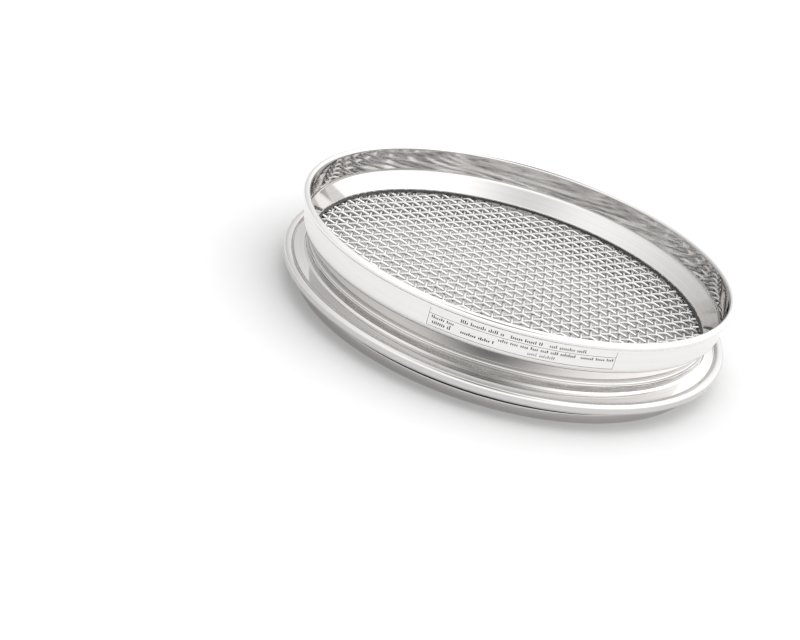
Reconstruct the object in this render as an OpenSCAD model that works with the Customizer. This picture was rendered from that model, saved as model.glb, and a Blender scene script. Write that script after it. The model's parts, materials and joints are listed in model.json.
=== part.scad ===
// Test sieve, 8 inch half height: a spun stainless frame with a woven wire cloth.
// The lower frame is one sheet: a skirt, a neck up to the ledge under the cloth, then a
// tray that ends in a curled flange bead, which caps the rim of the sieve below.
// The origin is the centre of the base plane, with +Z up the axis. Millimetres.
// Each spun sheet is drawn once, as a line of corners [radius, height, bend radius]
// in the half plane, then thickened and turned about the axis.

/* [Rim] */
// Inner diameter of the wall and the rolled top bead
rim_inner_d = 203.2; // [150:0.1:320]
// Height of the rim's top above the middle of the wire cloth
rim_height = 25.4; // [20:0.1:60]
// Thickness of the rolled top bead
rim_bead_d = 3.4; // [2.4:0.1:6]
// Angle the bead is rolled through, from the wall over the top and back
rim_roll = 290; // [180:5:300]

/* [Sheet] */
// Thickness of both spun sheets
sheet_t = 0.8; // [0.5:0.1:1.5]
// Inner radius of a tight bend
tight_bend = 0.5; // [0.3:0.1:2]

/* [Cone] */
// Radius of the opening at the foot of the cone
cone_foot_r = 96.6; // [90:0.1:100]
// Angle of the cone from the vertical
cone_angle = 30; // [10:1:45]
// Bend radius between the wall and the cone
cone_bend = 5; // [1:0.5:10]

/* [Wire cloth] */
// Clear opening between neighbouring wires
aperture = 3.35; // [1:0.05:10]
// Wire diameter
wire_d = 1.25; // [0.3:0.05:3]
// Height of the middle of the wire cloth above the base
cloth_z = 15.4; // [14:0.1:40]
// Gap left between the two layers of wires
layer_gap = 0.02; // [0:0.01:0.1]

/* [Seam and seal] */
// Outer radius of the seam band that holds the edge of the cloth
seam_r = 98.6; // [95:0.1:101]
// Width of the seam band
seam_w = 1.2; // [0.8:0.1:3]
// Width of the sealing fillet, from the foot of the cone inwards
seal_w = 2.2; // [1:0.1:4]
// Height of the sealing fillet against the cone
seal_h = 1.1; // [0.5:0.1:3]

/* [Flange] */
// Outer diameter of the flange bead
flange_d = 217.2; // [216:0.1:240]
// Width of the flange bead
flange_bead_w = 4.2; // [4:0.1:8]
// Height of the flange bead
flange_bead_h = 5.1; // [4.6:0.1:8]
// Middle radius of the bends over the flange bead's top
flange_bend = 1.5; // [1:0.1:1.5]
// Middle radius of the curl under the flange bead
flange_curl = 1.2; // [1:0.1:1.2]
// Depth of the flange bead's top below the middle of the cloth
flange_drop = 1.8; // [0:0.1:4]
// Depth of the tray's outer edge below the bead's top
tray_depth = 2; // [0.5:0.1:4]
// Depth of the step between the cloth's ledge and the tray
tray_step = 1; // [0.5:0.1:4]

/* [Skirt] */
// Outer diameter of the skirt, which drops into the rim of the sieve below
skirt_d = 202.4; // [200:0.1:204]
// Height of the skirt's shoulder above the base
skirt_h = 4.2; // [3:0.1:6]
// Radius where the lines of the ledge and the neck meet, inside their bend
neck_r = 93.9; // [90:0.1:94.5]

/* [Hidden] */
half_t = sheet_t / 2;
bend_mid = tight_bend + half_t;
rim_r = rim_inner_d / 2;
top_z = cloth_z + rim_height;
bead_r = rim_bead_d / 2;
bead_z = top_z - bead_r;
pitch = aperture + wire_d;
cloth_top = cloth_z + wire_d + layer_gap / 2;
cloth_bottom = cloth_z - wire_d - layer_gap / 2;
cloth_r = seam_r - seam_w;
wires_each_side = floor((cone_foot_r - wire_d) / pitch);
foot_mid = cloth_top + half_t;
foot_centre = [cone_foot_r + half_t + bend_mid, foot_mid + bend_mid];
foot_corner_r = foot_centre[0] - bend_mid * tan(45 + cone_angle / 2);
wall_mid = rim_r + half_t;
wall_foot_z = foot_mid + (wall_mid - foot_corner_r) / tan(cone_angle);
flange_r = flange_d / 2;
flange_top = cloth_z - flange_drop;
skirt_mid_r = skirt_d / 2 - half_t;
steel = [0.80, 0.80, 0.81];
wire_steel = [0.72, 0.72, 0.73];
solder = [0.62, 0.62, 0.62];
sealant = [0.10, 0.10, 0.10];
bend_step = 7.5;
$fn = 180;

// Unit vector from a to b
function way(a, b) = (b - a) / norm(b - a);
// Heading of the line from a to b, in degrees
function heading(a, b) = atan2(b[1] - a[1], b[0] - a[0]);
// Angle turned at corner b, from -180 to 180, positive to the left
function turn(a, b, c) = (heading(b, c) - heading(a, b) + 540) % 360 - 180;
// A corner's place, without its bend radius
function at(corner) = [corner[0], corner[1]];
// The unit vector to the left of a heading
function left(angle) = [-sin(angle), cos(angle)];

// A bend as stations [place, heading], starting at a place and heading
function bend(start, from, angle, r) =
    let (steps = ceil(abs(angle) / bend_step),
         centre = start + sign(angle) * r * left(from))
    [for (i = [0 : steps])
        let (now = from + angle * i / steps)
        [centre - sign(angle) * r * left(now), now]];

// The stations of a line of corners [radius, height, bend radius]
function stations(path) =
    let (last = len(path) - 1)
    concat(
        [[at(path[0]), heading(at(path[0]), at(path[1]))]],
        [for (i = [1 : last - 1])
            let (a = at(path[i - 1]), b = at(path[i]), c = at(path[i + 1]),
                 angle = turn(a, b, c),
                 setback = path[i][2] * tan(abs(angle) / 2))
            each bend(b - way(a, b) * setback, heading(a, b), angle, path[i][2])],
        [[at(path[last]), heading(at(path[last - 1]), at(path[last]))]]
    );

// A sheet that follows stations, half its thickness to each side
module sheet(line) {
    last = len(line) - 1;
    polygon(concat(
        [for (s = line) s[0] + half_t * left(s[1])],
        [for (i = [last : -1 : 0]) line[i][0] - half_t * left(line[i][1])]
    ));
}

module upper_frame() {
    roll_r = bead_r - half_t;
    roll_end = 180 - rim_roll;
    color(steel) rotate_extrude() sheet(concat(
        bend([rim_r + bead_r, bead_z] + roll_r * [cos(roll_end), sin(roll_end)],
             roll_end + 90, rim_roll, roll_r),
        stations([
            [wall_mid, bead_z - 0.5, 0],
            [wall_mid, wall_foot_z, cone_bend],
            [foot_corner_r, foot_mid, bend_mid],
            [seam_r + 0.2, foot_mid, 0]
        ])
    ));
}

module lower_frame() {
    ledge_mid = cloth_bottom - half_t;
    bead_in = flange_r - flange_bead_w + half_t;
    bead_out = flange_r - half_t;
    bead_mid = flange_top - half_t;
    curl_mid = flange_top - flange_bead_h + half_t;
    curl_in = bead_out - 2 * flange_curl - 0.1;
    color(steel) rotate_extrude() sheet(stations([
        [skirt_mid_r, 0, 0],
        [skirt_mid_r, skirt_h, bend_mid],
        [neck_r, ledge_mid, bend_mid],
        [seam_r - half_t, ledge_mid, bend_mid],
        [seam_r + half_t, ledge_mid - tray_step, bend_mid],
        [bead_in - 0.6, bead_mid - tray_depth, bend_mid],
        [bead_in + 0.2, bead_mid, flange_bend],
        [bead_out, bead_mid, flange_bend],
        [bead_out, curl_mid, flange_curl],
        [curl_in, curl_mid, flange_curl],
        [curl_in, curl_mid + flange_curl + 1, 0]
    ]));
}

module seam_band() {
    color(solder) rotate_extrude()
        translate([cloth_r, cloth_bottom]) square([seam_w, cloth_top - cloth_bottom]);
}

module seal_ring() {
    color(sealant) rotate_extrude() difference() {
        translate([cone_foot_r - seal_w, cloth_top])
            polygon([[0, 0], [seal_w + 0.6, 0], [seal_w + 0.6, seal_h], [seal_w, seal_h],
                     [seal_w * 0.4, 0.3], [0, 0.15]]);
        translate(foot_centre) circle(bend_mid + half_t);
    }
}

// The parallel wires whose number from the middle leaves the given remainder
module wires(remainder, z) {
    for (i = [-wires_each_side : wires_each_side])
        if (abs(i) % 2 == remainder) {
            off = i * pitch;
            reach = sqrt(pow(cloth_r, 2) - pow(abs(off) + wire_d / 2, 2));
            translate([0, off, z]) rotate([0, 90, 0])
                cylinder(h = 2 * reach, d = wire_d, center = true, $fn = 24);
        }
}

module warp_wires(remainder) {
    color(wire_steel) wires(remainder, cloth_top - wire_d / 2);
}

module weft_wires(remainder) {
    color(wire_steel) rotate(90) wires(remainder, cloth_bottom + wire_d / 2);
}

upper_frame();
lower_frame();
seam_band();
seal_ring();
warp_wires(0);  // warp_wires_even
warp_wires(1);  // warp_wires_odd
weft_wires(0);  // weft_wires_even
weft_wires(1);  // weft_wires_odd
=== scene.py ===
"""A test sieve in polished stainless steel, standing on a pale floor in soft studio light.

The frame gives the main sizes, and the rest repeat the CAD model's. The two spun sheets are
turned again here with finer steps, and its straight wires become crimped wires in a plain
weave. Profiles are written in millimetres, as (radius, height), and meshes are in metres.
"""
import json
import math
import random

import bmesh
import bpy
from mathutils import Matrix, Vector


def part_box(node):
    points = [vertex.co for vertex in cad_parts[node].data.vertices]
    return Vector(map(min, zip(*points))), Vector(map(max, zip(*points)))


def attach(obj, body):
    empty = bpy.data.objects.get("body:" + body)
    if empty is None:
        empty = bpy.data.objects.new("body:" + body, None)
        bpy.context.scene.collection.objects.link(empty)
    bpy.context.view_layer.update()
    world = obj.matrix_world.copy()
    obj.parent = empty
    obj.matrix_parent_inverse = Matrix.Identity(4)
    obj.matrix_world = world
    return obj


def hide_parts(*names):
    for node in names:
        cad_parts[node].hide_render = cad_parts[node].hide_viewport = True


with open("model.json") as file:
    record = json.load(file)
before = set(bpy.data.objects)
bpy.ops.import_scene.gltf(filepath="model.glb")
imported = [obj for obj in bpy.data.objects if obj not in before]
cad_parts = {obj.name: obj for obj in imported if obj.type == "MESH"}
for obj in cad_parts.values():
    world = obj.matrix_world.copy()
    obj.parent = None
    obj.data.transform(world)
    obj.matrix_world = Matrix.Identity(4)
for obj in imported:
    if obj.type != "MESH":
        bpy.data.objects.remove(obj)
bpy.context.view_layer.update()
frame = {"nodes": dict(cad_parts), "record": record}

MM = 0.001
random.seed(8)

# ---------------------------------------------------------------- sizes, in millimetres

mounts = {m["name"]: m for m in frame["record"]["mounts"]}
node_box = {name: [[c / MM for c in corner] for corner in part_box(name)]
            for name in frame["nodes"]}

SHEET = 0.8                                   # thickness of both spun sheets
HALF = SHEET / 2
TIGHT = 0.9                                   # middle radius of a tight bend
RIM_R = mounts["rim_bore"]["dims"]["r_mm"]
SKIRT_R = mounts["skirt_pin"]["dims"]["r_mm"]
RIM_TOP = node_box["upper_frame"][1][2]
FOOT_Z = node_box["upper_frame"][0][2]        # underside of the foot, top of the cloth
LEDGE_Z = node_box["lower_frame"][1][2]       # top of the ledge, underside of the cloth
CLOTH_Z = (FOOT_Z + LEDGE_Z) / 2
WIRE_D = node_box["warp_wires_even"][1][2] - node_box["warp_wires_even"][0][2]
SEAM_R = node_box["seam_band"][1][0]
SEAM_W = 1.2
SEAM_EASE = 0.15                              # chamfer of the seam's outer edges
CLOTH_R = SEAM_R - SEAM_W                     # where the wires end, inside the seam band
APERTURE = 3.35
PITCH = APERTURE + WIRE_D
BEAD_R = 1.7                                  # outer radius of the rolled top bead
WALL_START = 0.5                              # how far below the bead's middle the wall starts
RIM_ROLL = 290                                # degrees that the bead is rolled through
CONE_FOOT_R = 96.6
CONE_ANGLE = 30                               # from the vertical
CONE_BEND = 5
FOOT_REACH = 0.2                              # how far the foot passes the seam's outside
FLANGE_R = node_box["lower_frame"][1][0]
FLANGE_TOP = CLOTH_Z - 1.8
FLANGE_BEAD_W = 4.2
FLANGE_BEAD_H = 5.1
FLANGE_BEND = 1.5
FLANGE_CURL = 1.2
CURL_FLAT = 0.1                               # flat stretch under the curl
CURL_RISE = 1                                 # straight end of the curl, above its bend
STEP_IN, STEP_OUT = 0.6, 0.2                  # spread of the slope from the tray to the bead
TRAY_DEPTH = 2
TRAY_STEP = 1
SKIRT_H = 4.2
NECK_R = 93.9                                 # where the lines of ledge and neck meet
SEAL_W = 0.6                                  # visible width of the sealing fillet
SEAL_EDGE = 0.12                              # its height at the inner edge
SEAL_RISE = 0.35                              # and its rise from there to the cone


# ---------------------------------------------------------------- spun sheets

def heading_of(a, b):
    return math.atan2(b[1] - a[1], b[0] - a[0])


def left(heading):
    return Vector((-math.sin(heading), math.cos(heading)))


def bend(start, heading, angle, radius, step=math.radians(5)):
    """Stations (place, heading) round a bend. A positive angle turns to the left."""
    steps = max(3, math.ceil(abs(angle) / step))
    hand = math.copysign(1, angle)
    centre = Vector(start) + hand * radius * left(heading)
    headings = [heading + angle * i / steps for i in range(steps + 1)]
    return [(centre - hand * radius * left(h), h) for h in headings]


def stations(corners):
    """Stations along a line of corners (radius, height, bend radius)."""
    places = [Vector(c[:2]) for c in corners]
    line = [(places[0], heading_of(places[0], places[1]))]
    for a, b, c, radius in zip(places, places[1:], places[2:], [c[2] for c in corners[1:]]):
        into, out = heading_of(a, b), heading_of(b, c)
        turn = (out - into + math.pi) % math.tau - math.pi
        setback = radius * math.tan(abs(turn) / 2)
        line += bend(b - (b - a).normalized() * setback, into, turn, radius)
    line.append((places[-1], heading_of(places[-2], places[-1])))
    return line


def thicken(line, trim=0.12):
    """A closed outline half a sheet to each side of the stations, with its ends eased."""

    def end(place, heading, way):
        run = Vector((math.cos(heading), math.sin(heading))) * way
        side = left(heading) * way
        return [place - run * trim + side * HALF, place + side * (HALF - trim),
                place - side * (HALF - trim), place - run * trim - side * HALF]

    left_side = [p + HALF * left(h) for p, h in line[1:-1]]
    right_side = [p - HALF * left(h) for p, h in line[1:-1]]
    first, last = line[0], line[-1]
    return (left_side + end(last[0], last[1], 1)
            + right_side[::-1] + end(first[0], first[1], -1))


def lathe(name, outline, steps=300):
    """A closed outline turned about the axis into a ring."""
    ring = len(outline)
    verts, faces = [], []
    for i in range(steps):
        angle = math.tau * i / steps
        c, s = math.cos(angle) * MM, math.sin(angle) * MM
        verts += [(r * c, r * s, z * MM) for r, z in outline]
        here, there = i * ring, (i + 1) % steps * ring
        faces += [(here + j, here + (j + 1) % ring, there + (j + 1) % ring, there + j)
                  for j in range(ring)]
    return piece(name, verts, faces)


def piece(name, verts, faces, sharp=math.radians(35)):
    """A mesh object in the scene, smooth except along its sharp edges."""
    mesh = bpy.data.meshes.new(name)
    mesh.from_pydata(verts, [], faces)
    mesh.validate()
    mesh.shade_smooth()
    mesh.set_sharp_from_angle(angle=sharp)
    obj = bpy.data.objects.new(name, mesh)
    bpy.context.scene.collection.objects.link(obj)
    return obj


def outward(obj):
    """Turns every face of a closed mesh outward."""
    bm = bmesh.new()
    bm.from_mesh(obj.data)
    bmesh.ops.recalc_face_normals(bm, faces=bm.faces)
    bm.to_mesh(obj.data)
    bm.free()


def upper_frame_line():
    """From the end of the bead's roll, down the wall and the cone to the foot."""
    roll_r = BEAD_R - HALF
    roll_end = math.radians(180 - RIM_ROLL)
    roll_centre = Vector((RIM_R + BEAD_R, RIM_TOP - BEAD_R))
    foot_mid = FOOT_Z + HALF
    slope = math.radians(CONE_ANGLE)
    foot_r = CONE_FOOT_R + HALF + TIGHT - TIGHT * math.tan(math.radians(45) + slope / 2)
    wall_mid = RIM_R + HALF
    start = roll_centre + roll_r * Vector((math.cos(roll_end), math.sin(roll_end)))
    roll = bend(start, roll_end + math.pi / 2, math.radians(RIM_ROLL), roll_r)
    wall = stations([
        (wall_mid, RIM_TOP - BEAD_R - WALL_START, 0),
        (wall_mid, foot_mid + (wall_mid - foot_r) / math.tan(slope), CONE_BEND),
        (foot_r, foot_mid, TIGHT),
        (SEAM_R + FOOT_REACH, foot_mid, 0),
    ])
    return [roll[0]] + roll + wall


def lower_frame_line():
    """From the skirt up the neck, over the ledge and the tray, and round the flange bead."""
    ledge_mid = LEDGE_Z - HALF
    bead_in = FLANGE_R - FLANGE_BEAD_W + HALF
    bead_out = FLANGE_R - HALF
    bead_mid = FLANGE_TOP - HALF
    curl_mid = FLANGE_TOP - FLANGE_BEAD_H + HALF
    curl_in = bead_out - 2 * FLANGE_CURL - CURL_FLAT
    skirt_mid = SKIRT_R - HALF
    return stations([
        (skirt_mid, 0, 0),
        (skirt_mid, SKIRT_H, TIGHT),
        (NECK_R, ledge_mid, TIGHT),
        (SEAM_R - HALF, ledge_mid, TIGHT),
        (SEAM_R + HALF, ledge_mid - TRAY_STEP, TIGHT),
        (bead_in - STEP_IN, bead_mid - TRAY_DEPTH, TIGHT),
        (bead_in + STEP_OUT, bead_mid, FLANGE_BEND),
        (bead_out, bead_mid, FLANGE_BEND),
        (bead_out, curl_mid, FLANGE_CURL),
        (curl_in, curl_mid, FLANGE_CURL),
        (curl_in, curl_mid + FLANGE_CURL + CURL_RISE, 0),
    ])


upper = lathe("upper_shell", thicken(upper_frame_line()))
lower = lathe("lower_shell", thicken(lower_frame_line()))


def seam_outline():
    """The band between the two sheets, with its outer edges eased."""
    eased = SEAM_R - SEAM_EASE
    return [(CLOTH_R, LEDGE_Z), (eased, LEDGE_Z), (SEAM_R, LEDGE_Z + SEAM_EASE),
            (SEAM_R, FOOT_Z - SEAM_EASE), (eased, FOOT_Z), (CLOTH_R, FOOT_Z)]


def seal_outline():
    """The sealing fillet: a thin lip on the cloth that climbs the foot of the cone."""
    foot = Vector((CONE_FOOT_R + HALF + TIGHT, FOOT_Z + HALF + TIGHT))
    reach = TIGHT + HALF
    inner = CONE_FOOT_R - SEAL_W
    against = [foot + reach * Vector((math.cos(a), math.sin(a)))
               for a in (math.radians(d) for d in range(237, 212, -6))]
    rise = [(inner + SEAL_W * t, FOOT_Z + SEAL_EDGE + SEAL_RISE * t ** 2.4)
            for t in (0.94, 0.8, 0.6, 0.4, 0.2, 0)]
    return [(inner, FOOT_Z), (against[0][0], FOOT_Z)] + [tuple(p) for p in against] + rise


def sway_inner_edge(obj, edge):
    """Lets what lies inside a radius wander in and out, as if it was run by hand."""
    waves = [(n, random.uniform(0, math.tau), random.uniform(0.05, 0.12))
             for n in (7, 13, 23, 41)]
    for vert in obj.data.vertices:
        radius = math.hypot(vert.co.x, vert.co.y)
        if radius < edge:
            angle = math.atan2(vert.co.y, vert.co.x)
            sway = sum(size * math.sin(n * angle + start) for n, start, size in waves)
            moved = edge - (edge - radius) * (1 + sway)
            vert.co.x *= moved / radius
            vert.co.y *= moved / radius


seam = lathe("seam_ring", seam_outline())
seal = lathe("seal_fillet", seal_outline())
sway_inner_edge(seal, CONE_FOOT_R * MM)
for ring in (upper, lower, seam, seal):
    outward(ring)


# ---------------------------------------------------------------- marking on the band

MARK_R = RIM_R + SHEET                        # outside of the wall
MARK_PROUD = 0.02                             # how far the marking stands in and out of it
MARK_LOW, MARK_MID, MARK_HIGH = 27.9, 33.3, 35.6   # heights of the frame's lines
MARK_FROM, MARK_TO = -108.4, -63.2            # angles of its two ends, in degrees
MARK_LINE = 0.16                              # width of the frame's thin lines
LETTER_STEP, WORD_STEP = 0.47, 0.95           # degrees to the next dash, in a word and after it
BAR_CHANCE, BAR_WIDTH, BAR_H = 0.55, 0.36, 0.17    # cross bars on some of the dashes

# Rows of small print: from and to in degrees, middle height, letter height, stroke in degrees
MARK_ROWS = (
    (-100.8, -90.6, 34.6, 1.5, 0.25),
    (-89.0, -81.5, 34.6, 1.4, 0.24),
    (-79.9, -71.4, 34.6, 1.4, 0.22),
    (-107.6, -102.2, 31.9, 1.2, 0.25),
    (-107.2, -102.9, 29.7, 1.9, 0.25),
    (-100.2, -92.5, 30.0, 1.3, 0.30),
    (-91.5, -82.4, 31.8, 1.3, 0.25),
    (-81.6, -72.8, 31.8, 1.3, 0.25),
    (-72.0, -63.9, 31.8, 1.2, 0.25),
    (-84.3, -77.4, 29.4, 1.4, 0.15),
)


def strip(bm, angle_from, angle_to, low, high):
    """A thin closed slab that follows the wall's curve, in degrees and millimetres."""
    steps = max(1, math.ceil(angle_to - angle_from))
    inner, outer = MARK_R - MARK_PROUD, MARK_R + MARK_PROUD
    rings = []
    for i in range(steps + 1):
        a = math.radians(angle_from + (angle_to - angle_from) * i / steps)
        rings.append([bm.verts.new((r * math.cos(a) * MM, r * math.sin(a) * MM, z * MM))
                      for r, z in ((inner, low), (outer, low), (outer, high), (inner, high))])
    for here, there in zip(rings, rings[1:]):
        for j in range(4):
            bm.faces.new((here[j], here[(j + 1) % 4], there[(j + 1) % 4], there[j]))
    bm.faces.new(rings[0][::-1])
    bm.faces.new(rings[-1])


def print_row(bm, angle_from, angle_to, middle, height, stroke):
    """A row of upright dashes in word-like groups, standing for small print."""
    foot = middle - height * 0.31
    at = angle_from
    word = random.randint(4, 8)
    while at < angle_to:
        tall = height * random.choice((0.62, 0.62, 0.66, 1.0))
        strip(bm, at, at + stroke, foot, foot + tall)
        if random.random() < BAR_CHANCE:
            level = middle + height * random.choice((-0.31, 0.0, 0.2))
            strip(bm, at, at + BAR_WIDTH, level, level + BAR_H)
        word -= 1
        at += LETTER_STEP if word else WORD_STEP
        word = word or random.randint(4, 8)


def marking():
    """Thin frame lines round rows of unreadable small print."""
    bm = bmesh.new()
    half = MARK_LINE / 2
    upright = math.degrees(half / MARK_R)
    for z in (MARK_LOW, MARK_MID):
        strip(bm, MARK_FROM, MARK_TO, z - half, z + half)
    for a in (MARK_FROM, MARK_TO):
        strip(bm, a - upright, a + upright, MARK_LOW, MARK_HIGH)
    for row in MARK_ROWS:
        print_row(bm, *row)
    bmesh.ops.recalc_face_normals(bm, faces=bm.faces)
    mesh = bpy.data.meshes.new("band_marking")
    bm.to_mesh(mesh)
    bm.free()
    obj = bpy.data.objects.new("band_marking", mesh)
    bpy.context.scene.collection.objects.link(obj)
    return obj


mark = marking()


# ---------------------------------------------------------------- wire cloth

WIRES_EACH_SIDE = math.floor((CONE_FOOT_R - WIRE_D) / PITCH)
CRIMP_STEPS = 8                               # steps along a wire from crossing to crossing
CRIMP_TIGHT = 0.07                            # sharpens crossings, straightens what's between
CRIMP_NUDGE = 0.05                            # reach of the slope's estimate, each way
WIRE_SIDES = 10


def crimp(run):
    """Height of a wire off the middle of the cloth, at a distance along it."""
    phase = math.pi * run / PITCH
    shape = math.cos(phase) + CRIMP_TIGHT * math.cos(3 * phase)
    return WIRE_D / 2 * shape / (1 + CRIMP_TIGHT)


def wires(name, remainder, along_x):
    """Every second wire of one direction, each a closed round tube."""
    verts, faces = [], []
    for i in range(-WIRES_EACH_SIDE, WIRES_EACH_SIDE + 1):
        if abs(i) % 2 != remainder:
            continue
        off = i * PITCH
        reach = math.sqrt(CLOTH_R ** 2 - (abs(off) + WIRE_D / 2) ** 2)
        steps = max(8, round(2 * reach / PITCH * CRIMP_STEPS))
        flip = (1 if i % 2 == 0 else -1) * (1 if along_x else -1)
        base = len(verts)
        for k in range(steps + 1):
            run = -reach + 2 * reach * k / steps
            rise = flip * (crimp(run + CRIMP_NUDGE) - crimp(run - CRIMP_NUDGE))
            slope = math.atan(rise / (2 * CRIMP_NUDGE))
            for j in range(WIRE_SIDES):
                a = math.tau * j / WIRE_SIDES
                side, up = math.cos(a) * WIRE_D / 2, math.sin(a) * WIRE_D / 2
                x = run - up * math.sin(slope)
                z = CLOTH_Z + flip * crimp(run) + up * math.cos(slope)
                here = (x, off + side, z) if along_x else (off - side, x, z)
                verts.append([c * MM for c in here])
        for k in range(steps):
            a, b = base + k * WIRE_SIDES, base + (k + 1) * WIRE_SIDES
            for j in range(WIRE_SIDES):
                n = (j + 1) % WIRE_SIDES
                faces.append((a + j, b + j, b + n, a + n))
        faces.append([base + j for j in range(WIRE_SIDES)])
        faces.append([base + steps * WIRE_SIDES + j for j in reversed(range(WIRE_SIDES))])
    return piece(name, verts, faces, sharp=math.radians(60))


cloth = {
    "warp_wires_even": wires("warp_even", 0, True),
    "warp_wires_odd": wires("warp_odd", 1, True),
    "weft_wires_even": wires("weft_even", 0, False),
    "weft_wires_odd": wires("weft_odd", 1, False),
}
for group in cloth.values():
    outward(group)


# ---------------------------------------------------------------- materials

class Nodes:
    """A node tree with short calls for adding and linking nodes."""

    def __init__(self, tree):
        self.nodes = tree.nodes
        self.links = tree.links

    def add(self, kind, **settings):
        node = self.nodes.new(kind)
        for key, value in settings.items():
            setattr(node, key, value)
        return node

    def join(self, source, target):
        self.links.new(source, target)

    def value(self, target, source):
        """Sets a socket from a number or from another socket."""
        if isinstance(source, bpy.types.NodeSocket):
            self.join(source, target)
        else:
            target.default_value = source

    def math(self, operation, *operands):
        node = self.add("ShaderNodeMath", operation=operation)
        for socket, operand in zip(node.inputs, operands):
            self.value(socket, operand)
        return node.outputs[0]


class Shader(Nodes):
    """A material, with the textures and mixes that the finishes share."""

    def __init__(self, name):
        self.material = bpy.data.materials.new(name)
        self.material.use_nodes = True
        super().__init__(self.material.node_tree)
        self.bsdf = self.nodes["Principled BSDF"]

    def place(self):
        """The point in object space, in metres, as x, y and z sockets."""
        split = self.add("ShaderNodeSeparateXYZ")
        self.join(self.add("ShaderNodeTexCoord").outputs["Object"], split.inputs[0])
        return split.outputs

    def vector(self, x, y, z):
        node = self.add("ShaderNodeCombineXYZ")
        for socket, source in zip(node.inputs, (x, y, z)):
            self.value(socket, source)
        return node.outputs[0]

    def noise(self, vector, scale, detail=4.0, roughness=0.5, w=None):
        node = self.add("ShaderNodeTexNoise", noise_dimensions="4D" if w is not None else "3D")
        self.join(vector, node.inputs["Vector"])
        if w is not None:
            self.value(node.inputs["W"], w)
        node.inputs["Scale"].default_value = scale
        node.inputs["Detail"].default_value = detail
        node.inputs["Roughness"].default_value = roughness
        return node.outputs["Fac"]

    def spread(self, source, low, high, to_low, to_high):
        """Maps a range of a factor onto another range, clamped."""
        node = self.add("ShaderNodeMapRange")
        self.join(source, node.inputs["Value"])
        for key, number in (("From Min", low), ("From Max", high),
                            ("To Min", to_low), ("To Max", to_high)):
            node.inputs[key].default_value = number
        return node.outputs["Result"]

    def colour(self, factor, start, end):
        """A mix of two colours, each three numbers or a socket."""
        node = self.add("ShaderNodeMix", data_type="RGBA")
        self.join(factor, node.inputs["Factor"])
        for socket, source in ((node.inputs["A"], start), (node.inputs["B"], end)):
            plain = not isinstance(source, bpy.types.NodeSocket)
            self.value(socket, (*source, 1) if plain else source)
        return node.outputs["Result"]

    def bump(self, height, distance, strength=1.0, under=None):
        node = self.add("ShaderNodeBump")
        self.join(height, node.inputs["Height"])
        node.inputs["Distance"].default_value = distance
        node.inputs["Strength"].default_value = strength
        if under is not None:
            self.join(under, node.inputs["Normal"])
        return node.outputs["Normal"]

    def turned(self):
        """Radius, height and the unit direction about the axis, for turned finishes."""
        x, y, z = self.place()
        radius = self.math("SQRT", self.math("ADD", self.math("MULTIPLY", x, x),
                                             self.math("MULTIPLY", y, y)))
        return radius, z, self.math("DIVIDE", x, radius), self.math("DIVIDE", y, radius)


def neck_painted_shade_mask(s, radius, z):
    """Painted shade under the flange bead: 1 on the neck's outside above the skirt's shoulder,
    weaker higher up, 0 elsewhere.
    """
    slope = (SKIRT_R - HALF - NECK_R) / (LEDGE_Z - HALF - SKIRT_H)
    middle = (SKIRT_R - HALF + SKIRT_H * slope) * MM
    leaning = s.math("ADD", radius, s.math("MULTIPLY", z, slope))
    outside = s.math("GREATER_THAN", leaning, middle)
    above = s.spread(z, (SKIRT_H + 0.05) * MM, (SKIRT_H + 0.2) * MM, 0, 1)
    below = s.math("LESS_THAN", z, (LEDGE_Z - 2.4) * MM)
    within = s.math("LESS_THAN", radius, SKIRT_R * MM)
    fade = s.spread(z, (SKIRT_H + 1.3) * MM, (SKIRT_H + 3) * MM, 1, 0.55)
    return s.math("MULTIPLY", s.math("MULTIPLY", outside, above),
                  s.math("MULTIPLY", fade, s.math("MULTIPLY", below, within)))


STEEL = (0.625, 0.614, 0.605)
# painted highlight: the wall's outside is lighter than the rest of the same steel
BAND_PAINTED_HIGHLIGHT = (0.79, 0.78, 0.775)
# painted shade: near-black for the shaded gap under the flange bead
NECK_PAINTED_SHADE = (0.02, 0.019, 0.018)


def steel_shade(s, lines, tint, dark, light):
    """A steel colour that varies a little between turning marks."""
    return s.colour(s.spread(lines, 0.3, 0.7, 0, 1), [c * dark for c in tint],
                    [c * light for c in tint])


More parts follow.
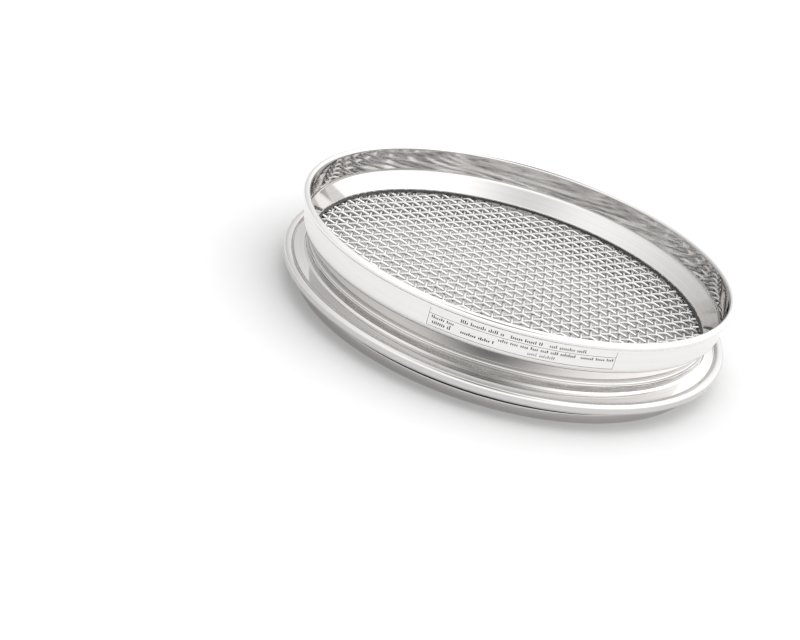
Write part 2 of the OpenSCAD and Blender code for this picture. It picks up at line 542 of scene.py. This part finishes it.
def spun_steel(name, band=False, neck=False):
    """Polished steel with faint turning marks, handling smudges and shallow waves.

    With band, the wall's outside is brighter: a painted highlight. With neck, the neck's
    outside is darkened:
    painted shade under the flange bead. Both imitate tones of the photograph, and don't stand
    for a known finish.
    """
    s = Shader(name)
    radius, z, cx, cy = s.turned()
    lines = s.noise(s.vector(s.math("MULTIPLY", cx, 0.6), s.math("MULTIPLY", cy, 0.6),
                             s.math("MULTIPLY", z, 2600)), 1.0, 3.0, 0.6,
                    s.math("MULTIPLY", radius, 2600))
    spots = s.noise(s.vector(*s.place()), 55, 5.0, 0.62)
    swell = s.noise(s.vector(s.math("MULTIPLY", cx, 9), s.math("MULTIPLY", cy, 9),
                             s.math("MULTIPLY", z, 260)), 1.0, 1.5, 0.4,
                    s.math("MULTIPLY", radius, 260))
    shade = steel_shade(s, lines, STEEL, 0.94, 1.05)
    rough = s.math("ADD", s.spread(lines, 0.3, 0.7, 0.03, 0.075),
                   s.spread(spots, 0.5, 0.75, 0, 0.06))
    if band:
        # painted highlight: the wall's outside gets the brighter tint
        outside = s.spread(radius, (RIM_R + 0.3) * MM, (RIM_R + SHEET - 0.05) * MM, 0, 1)
        shade = s.colour(outside, shade, steel_shade(s, lines, BAND_PAINTED_HIGHLIGHT, 0.96, 1.03))
    if neck:
        # painted shade: the neck's outside under the bead is darkened near-black, and made
        # rougher
        dull_and_painted_shade = neck_painted_shade_mask(s, radius, z)
        shade = s.colour(dull_and_painted_shade, shade, NECK_PAINTED_SHADE)
        rough = s.math("MAXIMUM", rough, s.math("MULTIPLY", dull_and_painted_shade, 0.5))
    s.join(shade, s.bsdf.inputs["Base Color"])
    s.join(rough, s.bsdf.inputs["Roughness"])
    s.bsdf.inputs["Metallic"].default_value = 1.0
    wavy = s.bump(swell, 0.00001)
    s.join(s.bump(lines, 0.000004, 0.6, wavy), s.bsdf.inputs["Normal"])
    return s.material


def wire_steel(name, along_x, dull_and_painted_shade, bright):
    """Bright drawn wire: die lines along its length and duller patches.

    The tint's range differs between the two directions, to imitate the photograph: the weft's
    darker range is painted shade, as both are the same wire.
    """
    s = Shader(name)
    x, y, z = s.place()
    run, across = (x, y) if along_x else (y, x)
    drawn = s.noise(s.vector(s.math("MULTIPLY", run, 90), s.math("MULTIPLY", across, 5200),
                             s.math("MULTIPLY", z, 5200)), 1.0, 2.0, 0.5)
    patch = s.noise(s.vector(x, y, z), 160, 4.0, 0.6)
    tint = (1, 0.985, 0.975)
    s.join(s.colour(s.spread(patch, 0.35, 0.7, 0, 1), [c * dull_and_painted_shade for c in tint],
                    [c * bright for c in tint]), s.bsdf.inputs["Base Color"])
    s.join(s.math("ADD", s.spread(drawn, 0.3, 0.7, 0.20, 0.30),
                  s.spread(patch, 0.5, 0.75, 0, 0.10)), s.bsdf.inputs["Roughness"])
    s.bsdf.inputs["Metallic"].default_value = 1.0
    s.join(s.bump(drawn, 0.000012, 0.5), s.bsdf.inputs["Normal"])
    return s.material


def seam_metal(name):
    """Satin joint metal with a slightly uneven surface."""
    s = Shader(name)
    _, z, cx, cy = s.turned()
    uneven = s.noise(s.vector(s.math("MULTIPLY", cx, 12), s.math("MULTIPLY", cy, 12),
                              s.math("MULTIPLY", z, 1500)), 1.0, 3.0, 0.5)
    s.join(s.colour(s.spread(uneven, 0.3, 0.7, 0, 1), (0.62, 0.61, 0.60),
                    (0.70, 0.69, 0.68)), s.bsdf.inputs["Base Color"])
    s.join(s.spread(uneven, 0.3, 0.7, 0.18, 0.28), s.bsdf.inputs["Roughness"])
    s.bsdf.inputs["Metallic"].default_value = 1.0
    s.join(s.bump(uneven, 0.000006), s.bsdf.inputs["Normal"])
    return s.material


def sealant(name):
    """Dark sealing compound, brushed on by hand; its near-black colour is also painted shade
    for the gap where the cloth meets the cone's foot.
    """
    s = Shader(name)
    radius, _, cx, cy = s.turned()
    daub = s.noise(s.vector(s.math("MULTIPLY", cx, 25), s.math("MULTIPLY", cy, 25),
                            s.math("MULTIPLY", radius, 500)), 1.0, 5.0, 0.6)
    # near-black: the compound's own dark, and painted shade in the gap at the cloth's edge
    s.join(s.colour(s.spread(daub, 0.3, 0.7, 0, 1), (0.008, 0.008, 0.008),
                    (0.035, 0.035, 0.036)), s.bsdf.inputs["Base Color"])
    s.join(s.spread(daub, 0.3, 0.7, 0.35, 0.6), s.bsdf.inputs["Roughness"])
    s.join(s.bump(daub, 0.0001), s.bsdf.inputs["Normal"])
    return s.material


def etched_mark(name):
    """Dark grey marking, a little uneven in strength."""
    s = Shader(name)
    fade = s.noise(s.vector(*s.place()), 900, 3.0, 0.6)
    s.join(s.colour(s.spread(fade, 0.3, 0.7, 0, 1), (0.012, 0.011, 0.011),
                    (0.05, 0.047, 0.045)), s.bsdf.inputs["Base Color"])
    s.bsdf.inputs["Roughness"].default_value = 0.6
    return s.material


def paper_floor(name):
    """Matt pale studio floor."""
    s = Shader(name)
    fleck = s.noise(s.vector(*s.place()), 40, 4.0, 0.6)
    s.join(s.colour(fleck, (0.745, 0.745, 0.745), (0.775, 0.775, 0.773)),
           s.bsdf.inputs["Base Color"])
    s.bsdf.inputs["Roughness"].default_value = 0.9
    return s.material


def finish(obj, material, slot, *nodes):
    """Gives a piece its material and body, and hides the CAD nodes it stands for. Its slot is
    not used.
    """
    obj.data.materials.clear()
    obj.data.materials.append(material)
    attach(obj, "root")
    if nodes:
        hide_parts(*nodes)


# band=True paints a highlight on the wall's outside
finish(upper, spun_steel("spun_steel", band=True), "polished_steel", "upper_frame")
# neck=True paints shade on the neck's outside under the flange bead
finish(lower, spun_steel("flange_steel_painted_shade", neck=True), "polished_steel", "lower_frame")
finish(seam, seam_metal("seam_metal"), "seam_metal", "seam_band")
finish(seal, sealant("sealant"), "sealant", "seal_ring")
finish(mark, etched_mark("etched_mark"), "sealant")
# the weft's darker tint is painted shade: both directions are the same steel wire
wire_steel_and_painted_shade = {"warp": wire_steel("warp_steel", True, 0.70, 0.84),
               "weft": wire_steel("weft_steel_painted_shade", False, 0.50, 0.62)}
for node, group in cloth.items():
    finish(group, wire_steel_and_painted_shade[node.split("_")[0]], "wire_steel", node)


# ---------------------------------------------------------------- floor, light and camera

FLOOR_HALF = 6                                # in metres

floor = piece("floor", [(-FLOOR_HALF, -FLOOR_HALF, 0), (FLOOR_HALF, -FLOOR_HALF, 0),
                        (FLOOR_HALF, FLOOR_HALF, 0), (-FLOOR_HALF, FLOOR_HALF, 0)],
              [(0, 1, 2, 3)])
floor.data.materials.append(paper_floor("floor_paper"))


def aim(obj, target, roll):
    """Points an object's -Z at a target, with a roll about that line, in degrees."""
    way = Vector(target) - obj.location
    turn = way.to_track_quat("-Z", "Y").to_matrix().to_4x4()
    turn = turn @ Matrix.Rotation(math.radians(roll), 4, "Z")
    obj.rotation_euler = turn.to_euler()


# Directions are unit vectors toward the light, and powers say how narrow a lobe is
TENT_LEVEL, TENT_SLOPE = 1.2, (0.15, -0.40, 0.30)
GLOW_LEVEL, GLOW_WAY, GLOW_POWER = 0.9, (0.62, 0.38, 0.69), 3.0
DIM_DEPTH, DIM_WAY, DIM_POWER = 0.85, (0.0, -0.5, 0.866), 12.0


def studio_world():
    """A white tent, with a broad glow behind on the right and a dim patch over the camera."""
    world = bpy.data.worlds.new("studio")
    world.use_nodes = True
    tree = Nodes(world.node_tree)
    way = tree.add("ShaderNodeTexCoord").outputs["Generated"]

    def dot(vector):
        node = tree.add("ShaderNodeVectorMath", operation="DOT_PRODUCT")
        tree.join(way, node.inputs[0])
        node.inputs[1].default_value = vector
        return node.outputs["Value"]

    def lobe(toward, power):
        """1 in a direction, falling off round it."""
        return tree.math("POWER", tree.math("MAXIMUM", dot(toward), 0.0), power)

    tent = tree.math("ADD", dot(TENT_SLOPE), TENT_LEVEL)
    glow = lobe(GLOW_WAY, GLOW_POWER)
    dim = lobe(DIM_WAY, DIM_POWER)
    total = tree.math("MULTIPLY", tree.math("MULTIPLY_ADD", glow, GLOW_LEVEL, tent),
                      tree.math("SUBTRACT", 1.0, tree.math("MULTIPLY", dim, DIM_DEPTH)))
    background = tree.nodes["Background"]
    background.inputs["Color"].default_value = (1, 1, 1, 1)
    tree.join(total, background.inputs["Strength"])
    bpy.context.scene.world = world


studio_world()

CAMERA_PLACE = (-0.0354, -0.54425, 0.24595)
CAMERA_TARGET = (-0.04322, -0.08342, 0.0194)
CAMERA_ROLL = 15.268                          # shows the level sieve at a slant, in degrees
CAMERA_LENS = 54.95

camera_data = bpy.data.cameras.new("camera")
camera_data.lens = CAMERA_LENS
camera_data.sensor_width = 36
camera_data.clip_start = 0.01
camera = bpy.data.objects.new("camera", camera_data)
bpy.context.scene.collection.objects.link(camera)
camera.location = CAMERA_PLACE
aim(camera, CAMERA_TARGET, CAMERA_ROLL)
bpy.context.scene.camera = camera
bpy.context.scene.view_settings.view_transform = "Standard"
